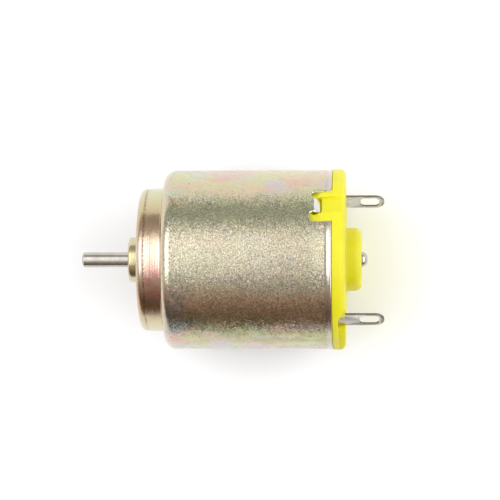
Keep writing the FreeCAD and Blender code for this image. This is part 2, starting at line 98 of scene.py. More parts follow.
# crimp notch and tab, seen square on: u forward from the rim, t around the can
NOTCH_HALF = 2.4
NOTCH_DEPTH = 2.72
NOTCH_CHAMFER = 0.43
MOUTH_CORNER = 0.22                # wider than the edge rounding, so that the edge never folds over
TAB_FAR = 1.4
TAB_NEAR = 0.95
TAB_END_FAR = 1.35
TAB_END_NEAR = 0.9
TAB_ROOT_U = 2.36                  # corner of the bend, and the end the bent tab reaches
TAB_TIP_U = 1.44
TAB_TIP_R = 11.25
TAB_BEND_R = 0.3
TAB_BEND = math.atan2(CAN_R - TAB_TIP_R, TAB_ROOT_U - TAB_TIP_U)
TAB_BEND_U = TAB_ROOT_U + TAB_BEND_R * math.tan(TAB_BEND / 2)
TAB_LENGTH = (TAB_BEND_R * (TAB_BEND - math.tan(TAB_BEND / 2))
              + math.hypot(CAN_R - TAB_TIP_R, TAB_ROOT_U - TAB_TIP_U))
TAB_END_U = TAB_BEND_U - TAB_LENGTH    # end of the tab before it was bent
PATCH_HALF_DEG = 20


# ---------------------------------------------------------------- mesh helpers

def new_object(name, verts, faces, material, smooth=True):
    mesh = bpy.data.meshes.new(name)
    mesh.from_pydata([Vector(v) * MM for v in verts], [], faces)
    mesh.validate()
    mesh.update()
    obj = bpy.data.objects.new(name, mesh)
    bpy.context.scene.collection.objects.link(obj)
    obj.data.materials.append(material)
    for poly in mesh.polygons:
        poly.use_smooth = smooth
    return obj


def around(x, r, clock):
    """Point at a distance along the shaft, radius and clock angle."""
    return (x, r * math.sin(clock), r * math.cos(clock))


def arc_corner(before, here, after, radius, step=math.radians(9)):
    """Points of a rounded corner of a flat outline."""
    p, a, b = Vector(here), Vector(before), Vector(after)
    to_a = (a - p).normalized()
    to_b = (b - p).normalized()
    half = to_a.angle(to_b) / 2
    reach = radius / math.tan(half)
    centre = p + (to_a + to_b).normalized() * (radius / math.sin(half))
    start = p + to_a * reach - centre
    end = p + to_b * reach - centre
    sweep = start.angle_signed(end)
    count = max(2, math.ceil(abs(sweep) / step))
    points = []
    for i in range(count + 1):
        turn = Matrix.Rotation(-sweep * i / count, 2)
        points.append(centre + turn @ start)
    return points


def rounded(corners, closed=False, support=0.07):
    """Outline through corners (a, b) or (a, b, radius).

    A support point goes beside each end of a long straight.
    """
    points = []
    count = len(corners)
    for i, c in enumerate(corners):
        if len(c) > 2 and c[2] and (closed or 0 < i < count - 1):
            points.append(arc_corner(corners[i - 1][:2], c[:2], corners[(i + 1) % count][:2], c[2]))
        else:
            points.append([Vector(c[:2])])
    line = []
    runs = points + [points[0]] if closed else points
    for run, after in zip(runs, runs[1:]):
        line += run
        a, b = run[-1], after[0]
        length = (b - a).length
        if support and length > 4 * support:
            direction = (b - a).normalized()
            line += [a + direction * support, b - direction * support]
    if not closed:
        line += runs[-1]
    return line


def split_long(line, longest):
    """Adds points so that no step along an outline is longer than this."""
    result = [line[0]]
    for a, b in zip(line, line[1:]):
        pieces = max(1, math.ceil((b - a).length / longest))
        result += [a.lerp(b, k / pieces) for k in range(1, pieces + 1)]
    return result


def lathe(name, line, material, segments=128, closed=True):
    """Solid of revolution about the shaft from a profile of (x, r) points."""
    verts, faces, rings = [], [], []
    for p in line:
        if p.y < 1e-6:
            rings.append([len(verts)] * segments)
            verts.append((p.x, 0, 0))
        else:
            rings.append(list(range(len(verts), len(verts) + segments)))
            verts += [around(p.x, p.y, 2 * math.pi * k / segments) for k in range(segments)]
    pairs = list(zip(rings, rings[1:]))
    if closed:
        pairs.append((rings[-1], rings[0]))
    for a, b in pairs:
        for k in range(segments):
            quad = [a[k], a[(k + 1) % segments], b[(k + 1) % segments], b[k]]
            face = [v for n, v in enumerate(quad) if v != quad[n - 1]]
            if len(face) > 2:
                faces.append(face)
    return new_object(name, verts, faces, material)


def weld(obj, distance=1e-7):
    bm = bmesh.new()
    bm.from_mesh(obj.data)
    bmesh.ops.remove_doubles(bm, verts=bm.verts, dist=distance)
    bmesh.ops.recalc_face_normals(bm, faces=bm.faces)
    bm.to_mesh(obj.data)
    bm.free()


# ---------------------------------------------------------------- material helpers

MIX_A, MIX_B, MIX_RESULT = 6, 7, 2  # places of the colour sockets on a mix node


class Nodes:
    """A node tree, with short names for what every finish below uses."""

    def __init__(self, tree):
        self.tree = tree
        tree.nodes.clear()

    def link(self, a, b):
        self.tree.links.new(a, b)

    def put(self, socket, value):
        if isinstance(value, bpy.types.NodeSocket):
            self.link(value, socket)
        elif value is not None:
            socket.default_value = value

    def vector(self, operation, a, b=None, scale=None):
        n = self.tree.nodes.new("ShaderNodeVectorMath")
        n.operation = operation
        self.put(n.inputs[0], a)
        if b is not None:
            self.put(n.inputs[1], b)
        if scale is not None:
            self.put(n.inputs["Scale"], scale)
        return n.outputs["Value"] if operation in ("LENGTH", "DOT_PRODUCT") else n.outputs["Vector"]

    def math(self, operation, a, b=None, c=None, clamp=False):
        n = self.tree.nodes.new("ShaderNodeMath")
        n.operation = operation
        n.use_clamp = clamp
        for socket, value in zip(n.inputs, (a, b, c)):
            self.put(socket, value)
        return n.outputs[0]

    def split(self, vector):
        n = self.tree.nodes.new("ShaderNodeSeparateXYZ")
        self.link(vector, n.inputs[0])
        return n.outputs

    def join(self, x, y, z):
        n = self.tree.nodes.new("ShaderNodeCombineXYZ")
        for socket, value in zip(n.inputs, (x, y, z)):
            self.put(socket, value)
        return n.outputs[0]

    def noise(self, where, scale, detail=3.0, roughness=0.55, distortion=0.0):
        n = self.tree.nodes.new("ShaderNodeTexNoise")
        self.link(where, n.inputs["Vector"])
        self.put(n.inputs["Scale"], scale)
        self.put(n.inputs["Detail"], detail)
        self.put(n.inputs["Roughness"], roughness)
        self.put(n.inputs["Distortion"], distortion)
        return n.outputs["Fac"]

    def cells(self, where, scale, feature="F1"):
        n = self.tree.nodes.new("ShaderNodeTexVoronoi")
        n.feature = feature
        self.link(where, n.inputs["Vector"])
        self.put(n.inputs["Scale"], scale)
        return n.outputs["Distance"]

    def facets(self, where, scale):
        """A random small vector for each cell of a fine mosaic."""
        n = self.tree.nodes.new("ShaderNodeTexVoronoi")
        self.link(where, n.inputs["Vector"])
        self.put(n.inputs["Scale"], scale)
        return self.vector("SUBTRACT", n.outputs["Color"], (0.5, 0.5, 0.5))

    def spread(self, value, low, high, to_low=0.0, to_high=1.0, smooth=True):
        n = self.tree.nodes.new("ShaderNodeMapRange")
        n.interpolation_type = "SMOOTHSTEP" if smooth else "LINEAR"
        for key, v in (("Value", value), ("From Min", low), ("From Max", high),
                       ("To Min", to_low), ("To Max", to_high)):
            self.put(n.inputs[key], v)
        return n.outputs["Result"]

    def ramp(self, value, stops, interpolation="LINEAR"):
        n = self.tree.nodes.new("ShaderNodeValToRGB")
        n.color_ramp.interpolation = interpolation
        self.link(value, n.inputs[0])
        elements = n.color_ramp.elements
        while len(elements) < len(stops):
            elements.new(0.5)
        for element, (position, colour) in zip(elements, stops):
            element.position = position
            element.color = (*colour, 1)
        return n.outputs["Color"]

    def mix(self, factor, a, b, blend="MIX"):
        n = self.tree.nodes.new("ShaderNodeMix")
        n.data_type = "RGBA"
        n.blend_type = blend
        self.put(n.inputs["Factor"], factor)
        for socket, colour in ((n.inputs[MIX_A], a), (n.inputs[MIX_B], b)):
            self.put(socket, colour if isinstance(colour, bpy.types.NodeSocket) else (*colour, 1))
        return n.outputs[MIX_RESULT]

    def product(self, first, *others):
        for other in others:
            first = self.math("MULTIPLY", first, other)
        return first

    def bump(self, height, distance_mm, strength=1.0, base=None):
        n = self.tree.nodes.new("ShaderNodeBump")
        self.put(n.inputs["Strength"], strength)
        self.put(n.inputs["Distance"], distance_mm * MM)
        self.link(height, n.inputs["Height"])
        if base is not None:
            self.link(base, n.inputs["Normal"])
        return n.outputs["Normal"]


class Shader(Nodes):
    """A surface material's nodes; place is the point in object space, in mm."""

    def __init__(self, name):
        self.material = bpy.data.materials.new(name)
        self.material.use_nodes = True
        super().__init__(self.material.node_tree)
        out = self.tree.nodes.new("ShaderNodeOutputMaterial")
        self.bsdf = self.tree.nodes.new("ShaderNodeBsdfPrincipled")
        self.link(self.bsdf.outputs[0], out.inputs["Surface"])
        where = self.tree.nodes.new("ShaderNodeTexCoord").outputs["Object"]
        self.place = self.vector("SCALE", where, scale=1 / MM)

    def set(self, **values):
        for key, value in values.items():
            self.put(self.bsdf.inputs[key.replace("_", " ")], value)


# ---------------------------------------------------------------- finishes

# Colours that the thin passivation film takes as its thickness changes; the two darkest, RED_BROWN and OLIVE,
# are partly painted shade.
GREEN_GOLD = (0.56, 0.55, 0.32)
STRAW = (0.55, 0.50, 0.37)
PALE_STRAW = (0.60, 0.52, 0.42)
PINK_GOLD = (0.60, 0.49, 0.34)
RED_GOLD = (0.68, 0.46, 0.32)
RED_BROWN = (0.52, 0.36, 0.23)
OLIVE = (0.38, 0.36, 0.20)
GREY_GREEN = (0.48, 0.48, 0.31)

# The order of the film's bands around the can and the nose, by clock angle in degrees. The OLIVE band on the
# can and the RED_BROWN bands on the nose are darker than the film alone: partly painted shade.
CAN_BANDS = [
    (-180, STRAW), (-75, GREEN_GOLD), (-50, PINK_GOLD), (-35, GREY_GREEN),
    (-10, STRAW), (15, STRAW), (30, RED_GOLD), (50, OLIVE), (75, GREEN_GOLD), (180, STRAW),
]
NOSE_BANDS = [
    (-180, STRAW), (-60, GREEN_GOLD), (-30, RED_BROWN), (-5, PALE_STRAW),
    (25, RED_BROWN), (45, RED_BROWN), (65, GREEN_GOLD), (180, STRAW),
]

# Tinted patches of the film: place in the noise, colour, strength.
FILM_PATCHES = [
    ((3, 17, 23), (0.52, 0.58, 0.30), 0.45),
    ((17, 3, 37), (0.44, 0.54, 0.48), 0.35),
    ((11, 41, 5), (0.64, 0.41, 0.34), 0.75),
    ((31, 7, 3), (0.52, 0.45, 0.56), 0.55),
]


def band_stops(bands):
    return [((clock + 180) / 360, colour) for clock, colour in bands]


class Plating(Shader):
    """Places and masks on the plated can that its colours and its grain share."""

    def __init__(self):
        super().__init__("yellow_zinc_plating")
        self.x, y, z = self.split(self.place)
        self.clock = self.math("ARCTAN2", y, z)             # radians from +Z towards +Y
        self.side = self.math("ABSOLUTE", self.clock)
        squares = self.math("ADD", self.math("MULTIPLY", y, y), self.math("MULTIPLY", z, z))
        self.radius = self.math("SQRT", squares)
        self.on_nose = self.spread(self.x, -3.6, -3.0)
        self.off_nose = self.math("SUBTRACT", 1.0, self.on_nose)
        shoulder = self.spread(self.x, -4.9, -3.7)
        rim = self.spread(self.x, X_RIM + 0.95, X_RIM + 0.72)
        self.polished = self.math("MAXIMUM", shoulder, rim)
        # below the can's outer surface, near the mouth: the bent tabs and the sheared edges
        below = self.spread(self.radius, CAN_R - 0.006, CAN_R - 0.03)
        self.bare = self.product(below, self.spread(self.x, X_RIM + 3.2, X_RIM + 2.9))
        self.drawn = self.vector("MULTIPLY", self.place, (0.45, 1.0, 1.0))     # marks run along the can
        self.clouds = self.noise(self.drawn, 0.30, 3.0, 0.6)
        self.fine_clouds = self.noise(self.vector("ADD", self.drawn, (9, 2, 4)), 0.9, 3.0, 0.6)


def film_bands(s):
    """Bands of film colour around the can, pushed about by soft clouds."""
    bunched = s.spread(s.x, -12, -21, 1.0, 0.84)            # they draw together towards the rim
    turn = s.math("MULTIPLY_ADD", s.math("MULTIPLY", s.clock, bunched), 0.5 / math.pi, 0.5)
    shift = s.math("ADD", s.math("MULTIPLY", s.math("SUBTRACT", s.clouds, 0.5), 0.085),
                   s.math("MULTIPLY", s.math("SUBTRACT", s.fine_clouds, 0.5), 0.045))
    on_can = s.ramp(s.math("ADD", turn, shift), band_stops(CAN_BANDS))
    return s.mix(s.on_nose, on_can, s.ramp(turn, band_stops(NOSE_BANDS)))


def film_stains(s, film):
    """Tinted patches on the flanks, a teal stain by the shoulder, and the boss's own tone."""
    flank = s.spread(s.side, 0.76, 0.96, 0.15, 1.0)
    flank = s.math("MULTIPLY", flank, s.spread(s.on_nose, 0.0, 1.0, 1.0, 0.15))
    for offset, tint, amount in FILM_PATCHES:
        patch = s.noise(s.vector("ADD", s.drawn, offset), 0.36, 3.0, 0.55)
        film = s.mix(s.math("MULTIPLY", flank, s.spread(patch, 0.50, 0.62, 0.0, amount)), film, tint)
    ragged = s.math("MULTIPLY", s.math("SUBTRACT", s.fine_clouds, 0.5), 0.9)
    teal = s.spread(s.math("ADD", s.clock, ragged), -1.02, -0.86)
    teal = s.math("MULTIPLY", teal, s.spread(s.clock, -0.86, -0.72, 1.0, 0.0))
    by_shoulder = s.math("MULTIPLY", s.spread(s.x, -7.0, -5.0, 0.0, 0.7), s.spread(s.x, -3.5, -3.9))
    film = s.mix(s.math("MULTIPLY", teal, by_shoulder), film, (0.42, 0.56, 0.42))
    boss = s.ramp(s.clouds, [(0.3, (0.54, 0.46, 0.26)), (0.7, (0.60, 0.53, 0.33))])
    return s.mix(s.spread(s.x, 0.02, 0.20), film, boss)


def film_wear(s, film):
    """Grey scuffs, bare zinc where the film has cracked off, a rubbed shoulder and rim, and a dark ring of
    painted shade just inside the rim.
    """
    rub = s.noise(s.vector("MULTIPLY", s.place, (0.55, 1.6, 1.6)), 0.75, 5.0, 0.7)
    low_side = s.math("MULTIPLY", s.spread(s.clock, 0.25, 0.55), s.spread(s.clock, 0.85, 1.15, 1, 0))
    rub_edge = s.math("MULTIPLY", s.spread(s.x, -10.5, -4.2, 0.0, 0.19), low_side)
    rub = s.spread(s.math("ADD", rub, rub_edge), 0.60, 0.68, 0.0, 0.75)
    film = s.mix(s.math("MULTIPLY", rub, s.off_nose), film, (0.36, 0.37, 0.38))
    film = s.mix(s.bare, film, (0.68, 0.67, 0.65))

    thinned = s.spread(s.noise(s.place, 0.5, 2.0, 0.5), 0.35, 0.65, 0.15, 0.40)
    step = s.spread(s.x, -4.15, -3.75)
    pale = s.product(s.product(s.polished, s.off_nose), thinned)
    pale = s.math("MULTIPLY", pale, s.math("SUBTRACT", 1.0, step))
    film = s.mix(pale, film, (0.59, 0.56, 0.55))
    film = s.mix(s.math("MULTIPLY", step, s.math("MULTIPLY", s.off_nose, 0.7)), film, (0.60, 0.50, 0.34))

    # Painted shade: a broken dark ring just inside the rim, where the flare dips, standing for the dark band
    # beside the rim's highlight.
    ring = s.math("MULTIPLY", s.spread(s.x, X_RIM + 0.50, X_RIM + 0.58),
                  s.spread(s.x, X_RIM + 1.0, X_RIM + 0.72))
    broken = s.spread(s.noise(s.place, 1.3, 3.0, 0.6), 0.36, 0.60, 0.05, 0.30)
    return s.mix(s.math("MULTIPLY", ring, broken), film, (0.27, 0.25, 0.30))


def nose_marks(s, film):
    """Spots, painted shade along the crease, straw mottling low down and a red blush, all on the nose cup."""
    worn = s.math("MULTIPLY", s.spread(s.x, -3.3, -2.9), s.spread(s.x, -0.75, -0.3, 1.0, 0.0))
    spots = s.spread(s.cells(s.vector("ADD", s.place, (4, 4, 4)), 2.2), 0.25, 0.08, 0.0, 0.45)
    spots = s.math("MULTIPLY", spots, s.spread(s.noise(s.place, 0.9, 2.0, 0.5), 0.52, 0.62))
    film = s.mix(s.math("MULTIPLY", spots, worn), film, (0.20, 0.14, 0.12))

    # Painted shade: a dark line along the crease in the nose, broken up by noise.
    crease_shade = s.spread(s.math("ABSOLUTE", s.math("ADD", s.x, 1.0)), 0.22, 0.07)
    crease_breakup = s.spread(s.noise(s.place, 4.5, 3.0, 0.6), 0.40, 0.54)
    film = s.mix(s.math("MULTIPLY", s.math("MULTIPLY", crease_shade, crease_breakup), 0.75), film, (0.22, 0.12, 0.10))

    mottle = s.join(s.math("MULTIPLY", s.x, 1.6), s.math("MULTIPLY", s.clock, 5.0), 3.0)
    mottle = s.spread(s.noise(mottle, 0.9, 3.0, 0.6), 0.44, 0.58, 0.0, 0.6)
    mottle = s.math("MULTIPLY", mottle, s.spread(s.clock, 0.86, 0.96))
    film = s.mix(s.math("MULTIPLY", mottle, s.on_nose), film, (0.60, 0.48, 0.36))

    blush = s.noise(s.vector("ADD", s.drawn, (2, 9, 4)), 0.5, 3.0, 0.6)
    blush = s.math("MULTIPLY", s.spread(blush, 0.42, 0.6), s.on_nose)
    low_back = s.math("MULTIPLY", s.spread(s.x, -0.9, -1.6), s.spread(s.clock, -0.05, 0.3))
    blush = s.math("MULTIPLY", blush, low_back)
    blush = s.math("MULTIPLY", blush, s.spread(s.clock, 0.75, 0.45, 0.0, 0.75))
    return s.mix(blush, film, (0.58, 0.20, 0.23))


def can_specks(s, film):
    """Dark specks and handling marks, most of them near the shoulder."""
    seed = s.math("ADD", s.noise(s.place, 0.7, 2.0, 0.5), s.spread(s.x, -9.0, -3.6, 0.0, 0.16))
    specks = s.math("MULTIPLY", s.spread(s.cells(s.place, 1.5), 0.30, 0.12),
                    s.spread(seed, 0.62, 0.70, 0.0, 0.55))
    film = s.mix(s.math("MULTIPLY", specks, s.off_nose), film, (0.10, 0.09, 0.06))
    dust = s.spread(s.cells(s.place, 2.6), 0.14, 0.05, 0.0, 0.5)
    return s.mix(s.math("MULTIPLY", dust, s.off_nose), film, (0.16, 0.14, 0.09))


def grain_colour(s, film, glossy):
    """Light and dark flecks, partly crystal grain and partly painted sparkle of reflected light; they fade on
    the flanks and where the sheet is polished.
    """
    flecks = s.spread(s.noise(s.place, 5.5, 2.0, 0.6), 0.36, 0.60, 0.68, 1.10)
    tints = s.vector("MULTIPLY", s.facets(s.vector("ADD", s.place, (1, 7, 2)), 4.6), (0.08, 0.04, 0.09))
    flecks = s.vector("ADD", s.join(flecks, flecks, flecks), tints)
    # The fade on the flanks follows where the painted sparkle shows, not the metal.
    smooth = s.math("MAXIMUM", glossy, s.spread(s.side, 0.66, 0.90, 0.0, 0.8))
    return s.mix(1.0, film, s.mix(smooth, flecks, (1.0, 1.0, 1.0)), "MULTIPLY")


def sheet_normal(s, glossy):
    """Small facets tilted at random over shallow pits; drawing lines on the nose; slow waves."""
    small = s.facets(s.place, 6.4)
    large = s.facets(s.vector("ADD", s.place, (5, 5, 5)), 3.4)
    tilt = s.vector("ADD", small, s.vector("SCALE", large, scale=0.35))
    tilt = s.vector("SCALE", tilt, scale=s.spread(glossy, 0.0, 1.0, 0.18, 0.05))
    tilt = s.vector("MULTIPLY", tilt, (0.32, 1.0, 1.0))
    facing = s.tree.nodes.new("ShaderNodeNewGeometry").outputs["Normal"]
    normal = s.vector("NORMALIZE", s.vector("ADD", facing, tilt))

    pits = s.noise(s.vector("ADD", s.place, (8, 1, 5)), 5.5, 2.0, 0.6)
    around_lines = s.join(s.math("MULTIPLY", s.x, 5.0), s.math("MULTIPLY", s.radius, 5.0),
                          s.math("MULTIPLY", s.clock, 1.3))
    lines = s.noise(around_lines, 1.0, 4.0, 0.65)
    dimples = s.noise(s.place, 3.4, 2.0, 0.6)
    waves = s.noise(s.vector("MULTIPLY", s.place, (0.5, 1, 1)), 0.35, 2.0, 0.5)
    normal = s.bump(pits, 0.014, s.spread(glossy, 0.0, 1.0, 1.0, 0.10), normal)
    normal = s.bump(lines, 0.040, s.math("MULTIPLY", s.on_nose, 0.8), normal)
    normal = s.bump(dimples, 0.012, s.math("MULTIPLY", s.on_nose, 0.7), normal)
    return s.bump(waves, 0.04, 0.8, normal)


def plated_sheet():
    """Iridescent yellow-chromated zinc on drawn steel: grainy on the can, finer on the nose."""
    s = Plating()
    film = film_bands(s)
    for layer in (film_stains, film_wear, nose_marks, can_specks):
        film = layer(s, film)
    glossy = s.math("MAXIMUM", s.polished, s.bare)
    rough = s.spread(s.noise(s.place, 0.8, 3.0, 0.6), 0.3, 0.7, 0.20, 0.29)
    rough = s.math("SUBTRACT", rough, s.math("MULTIPLY", glossy, 0.07))
    s.set(Base_Color=grain_colour(s, film, glossy), Metallic=1.0, Roughness=rough)
    s.set(Normal=sheet_normal(s, glossy))
    return s.material


def yellow_nylon():
    s = Shader("yellow_nylon")
    clouds = s.noise(s.place, 0.5, 3.0, 0.55)
    colour = s.ramp(clouds, [(0.3, (0.68, 0.63, 0.006)), (0.7, (0.71, 0.665, 0.011))])
    specks = s.spread(s.cells(s.place, 1.4), 0.045, 0.03)
    colour = s.mix(s.math("MULTIPLY", specks, 0.5), colour, (0.35, 0.25, 0.02))
    deeper = s.spread(s.noise(s.place, 0.22, 2.0, 0.5), 0.45, 0.65, 0.0, 0.35)
    colour = s.mix(deeper, colour, (0.66, 0.59, 0.006))
    flow = s.noise(s.vector("MULTIPLY", s.place, (1, 3, 1)), 2.0, 4.0, 0.6)
    normal = s.bump(flow, 0.006, 1.0)
    rough = s.spread(s.noise(s.place, 1.5, 2.0, 0.5), 0.3, 0.7, 0.42, 0.55)
    s.set(Base_Color=colour, Roughness=rough, Normal=normal)
    s.set(Subsurface_Weight=0.4, Subsurface_Radius=(1.0, 0.8, 0.12), Subsurface_Scale=0.0012)
    return s.material


def ground_steel():
    s = Shader("ground_steel")
    x, y, z = s.split(s.place)
    clock = s.math("ARCTAN2", y, z)
    rings = s.noise(s.join(s.math("MULTIPLY", x, 14.0), 0.0, s.math("MULTIPLY", clock, 0.6)), 1.0, 3.0, 0.6)
    stains = s.noise(s.place, 0.9, 3.0, 0.6)
    colour = s.ramp(stains, [(0.3, (0.44, 0.41, 0.37)), (0.7, (0.55, 0.52, 0.46))])
    rough = s.spread(rings, 0.3, 0.7, 0.16, 0.26)
    s.set(Base_Color=colour, Metallic=1.0, Roughness=rough, Normal=s.bump(rings, 0.003, 1.0))
    return s.material


def tinned_sheet():
    """Tinned brass blade: bright rolled faces, darker sheared edges that are partly bare metal and partly
    painted shade, and painted shade towards the tip.
    """
    s = Shader("tinned_brass")
    clouds = s.noise(s.vector("MULTIPLY", s.place, (0.6, 1, 1)), 1.6, 4.0, 0.6)
    colour = s.ramp(clouds, [
        (0.3, (0.52, 0.48, 0.41)), (0.55, (0.62, 0.59, 0.53)), (0.8, (0.70, 0.68, 0.64)),
    ])
    facing = s.tree.nodes.new("ShaderNodeTexCoord").outputs["Normal"]
    outward = (0.0, math.sin(ROLL), math.cos(ROLL))
    # Edges facing away from the blade's faces are darkened: partly their bare sheared metal, partly painted
    # shade.
    face = s.spread(s.math("ABSOLUTE", s.vector("DOT_PRODUCT", facing, outward)), 0.35, 0.75)
    colour = s.mix(face, (0.20, 0.18, 0.15), colour)
    x = s.split(s.place)[0]
    # Painted shade: the blade darkens towards its rounded tip, with ragged edges from the clouds.
    tip_shade = s.math("ADD", s.spread(x, -31.0, -32.3), s.math("MULTIPLY", s.math("SUBTRACT", clouds, 0.5), 1.4))
    colour = s.mix(s.spread(tip_shade, 0.55, 1.1, 0.0, 0.8), colour, (0.10, 0.09, 0.07))
    grain = s.noise(s.vector("MULTIPLY", s.place, (2, 7, 7)), 1.4, 4.0, 0.6)
    rough = s.math("ADD", s.spread(clouds, 0.3, 0.7, 0.20, 0.30), s.spread(face, 0.0, 1.0, 0.2, 0.0))
    s.set(Base_Color=colour, Metallic=1.0, Roughness=rough, Normal=s.bump(grain, 0.008, 1.0))
    return s.material


def plain_finish(name, dark, light, metallic, rough_low, rough_high, scale, stretch=(1, 1, 1), depth=0.006):
    """Finish of a hidden piece: clouded colour, broken gloss and a fine grain."""
    s = Shader(name)
    where = s.vector("MULTIPLY", s.place, stretch)
    clouds = s.noise(where, scale, 4.0, 0.6)
    grain = s.noise(where, scale * 4, 3.0, 0.6)
    rough = s.spread(clouds, 0.3, 0.7, rough_low, rough_high)
    s.set(Base_Color=s.ramp(clouds, [(0.3, dark), (0.7, light)]), Metallic=metallic, Roughness=rough)
    s.set(Normal=s.bump(grain, depth, 1.0))
    return s.material


WIRE_D = 0.25


def wound_wire():
    """Turns of enamelled wire lying side by side, with painted shade between the turns and painted highlight
    on their crests.
    """
    s = Shader("enamelled_wire")
    uneven = s.vector("SCALE", s.join(s.noise(s.place, 0.8), 0.0, 0.0), scale=0.2)
    _, y, z = s.split(s.vector("ADD", s.place, uneven))
    radius = s.math("SQRT", s.math("ADD", s.math("MULTIPLY", y, y), s.math("MULTIPLY", z, z)))
    turns = s.math("SINE", s.math("MULTIPLY", radius, 2 * math.pi / WIRE_D))
    # Painted shade and highlight: dark in the grooves between turns, bright on their crests.
    colour = s.ramp(s.spread(turns, -1, 1), [
        (0.0, (0.20, 0.05, 0.02)), (0.6, (0.62, 0.20, 0.07)), (1.0, (0.80, 0.34, 0.14)),
    ])
    s.set(Base_Color=colour, Metallic=0.8, Roughness=0.3, Normal=s.bump(turns, 0.03, 1.0))
    return s.material


TABLE_DIMS = (42, 130)             # the table's light falls off between these, towards +Y


def paper_floor():
    """White table top, falling away into the dim side of the room."""
    s = Shader("white_table")
    y = s.split(s.place)[1]
    fibres = s.noise(s.place, 1.2, 4.0, 0.6)
    tone = s.noise(s.place, 0.02, 2.0, 0.5)
    colour = s.ramp(tone, [(0.3, (0.885, 0.89, 0.92)), (0.7, (0.905, 0.91, 0.94))])
    dim = s.spread(y, *TABLE_DIMS, 1.0, 0.35)
    colour = s.mix(1.0, colour, s.join(dim, dim, dim), "MULTIPLY")
    s.set(Base_Color=colour, Roughness=0.85, Normal=s.bump(fibres, 0.01, 0.3))
    return s.material


ZINC = plated_sheet()
NYLON = yellow_nylon()
STEEL = ground_steel()
TINNED = tinned_sheet()
WIRE = wound_wire()
BRONZE = plain_finish("sintered_bronze", (0.34, 0.21, 0.09), (0.62, 0.43, 0.20), 1.0, 0.35, 0.55, 3.0)
FERRITE = plain_finish("ferrite", (0.035, 0.035, 0.04), (0.09, 0.09, 0.10), 0.0, 0.55, 0.8, 2.0)
SPRING = plain_finish("spring_steel", (0.22, 0.23, 0.26), (0.42, 0.43, 0.46), 1.0, 0.25, 0.4, 1.5,
                      (0.4, 2, 2))
LEAF = plain_finish("leaf_bronze", (0.58, 0.36, 0.17), (0.80, 0.54, 0.29), 1.0, 0.2, 0.35, 2.0, (2, 0.5, 1))
CARBON = plain_finish("carbon", (0.02, 0.02, 0.02), (0.08, 0.08, 0.08), 0.2, 0.4, 0.6, 5.0)
SHEETS = plain_finish("stamped_sheets", (0.22, 0.23, 0.25), (0.45, 0.46, 0.48), 1.0, 0.3, 0.5, 1.5, (5, 1, 1))
INSULATOR = plain_finish("white_moulding", (0.70, 0.70, 0.66), (0.86, 0.86, 0.82), 0.0, 0.4, 0.6, 1.5)
RESIN = plain_finish("dark_resin", (0.05, 0.035, 0.025), (0.13, 0.10, 0.07), 0.0, 0.35, 0.5, 2.0)
COPPER = plain_finish("bare_copper", (0.66, 0.30, 0.16), (0.90, 0.52, 0.34), 1.0, 0.2, 0.35, 2.0, (0.5, 3, 3))
FIBRE = plain_finish("fibre_washer", (0.55, 0.47, 0.32), (0.78, 0.70, 0.52), 0.0, 0.6, 0.8, 3.0)

FINISH_OF_SLOT = {
    "zinc_plate": ZINC, "yellow_nylon": NYLON, "bronze": BRONZE, "ferrite": FERRITE,
    "spring_steel": SPRING, "tinned_lug": TINNED, "leaf_bronze": LEAF, "carbon": CARBON,
    "shaft_steel": STEEL, "lamination_steel": SHEETS, "insulator_plastic": INSULATOR,
    "enamel_copper": WIRE, "moulding_resin": RESIN, "copper": COPPER, "fibre": FIBRE,
}


# ---------------------------------------------------------------- the can

def flare(u):
    """How far the can's mouth has opened at a distance u from the rim."""
    gentle = min(1.0, max(0.0, (2.6 - u) / 2.0))
    dip = max(0.0, 1 - ((u - 0.72) / 0.24) ** 2) ** 2
    steep = min(1.0, max(0.0, (0.56 - u) / 0.28))
    fall = max(0.0, 0.19 - u)
    return 0.064 * gentle ** 1.4 - 0.024 * dip + 0.056 * steep * steep * (3 - 2 * steep) - 0.36 * fall


def sheet_point(u, t, depth, centre, in_tab):
    """Place on or in the can's wall: u forward from the rim, t around, depth into the wall."""
    radius = CAN_R + flare(u)
    x = u
    if in_tab and u < TAB_BEND_U:
        run = TAB_BEND_U - u
        turn = min(run / TAB_BEND_R, TAB_BEND)
        straight = max(0.0, run - TAB_BEND_R * TAB_BEND)
        x = TAB_BEND_U - (TAB_BEND_R - depth) * math.sin(turn) - straight * math.cos(turn)
        radius = CAN_R - TAB_BEND_R + (TAB_BEND_R - depth) * math.cos(turn) - straight * math.sin(turn)
    else:
        radius -= depth
    return around(X_RIM + x, radius, centre - t / CAN_R)


def notch_outline():
    """Edge of the sheet across one patch, from side to side, in (t, u)."""
    reach = CAN_R * math.radians(PATCH_HALF_DEG)
    lobe = NOTCH_DEPTH + 0.15
    line = rounded([
        (-reach, 0),
        (-NOTCH_HALF - 0.12, 0, MOUTH_CORNER),
        (-NOTCH_HALF, 0.3, 0.3),
        (-NOTCH_HALF, lobe, 0.55),
        (-TAB_NEAR, lobe, 0.5),
        (-TAB_END_NEAR, TAB_END_U, 0.2),
        (TAB_END_FAR, TAB_END_U, 0.2),
        (TAB_FAR, 2.35, 0.5),
        (TAB_FAR + 0.12, NOTCH_DEPTH, 0.3),
        (NOTCH_HALF, NOTCH_DEPTH, 0.42),
        (NOTCH_HALF, NOTCH_CHAMFER, MOUTH_CORNER),
        (NOTCH_HALF + NOTCH_CHAMFER, 0, MOUTH_CORNER),
        (reach, 0),
    ], support=0)
    return split_long(line, 0.12)


def edge_normals(line):
    normals = []
    for i in range(len(line)):
        before = line[max(i - 1, 0)]
        after = line[min(i + 1, len(line) - 1)]
        direction = (after - before).normalized()
        normals.append(Vector((-direction.y, direction.x)))
    normals[0] = normals[-1] = Vector((0, 1))
    return normals


def is_tab(p):
    """The tab is what lies between the two relief lobes."""
    return -TAB_NEAR - 0.7 < p.x < TAB_FAR + 0.45 and p.y < TAB_BEND_U


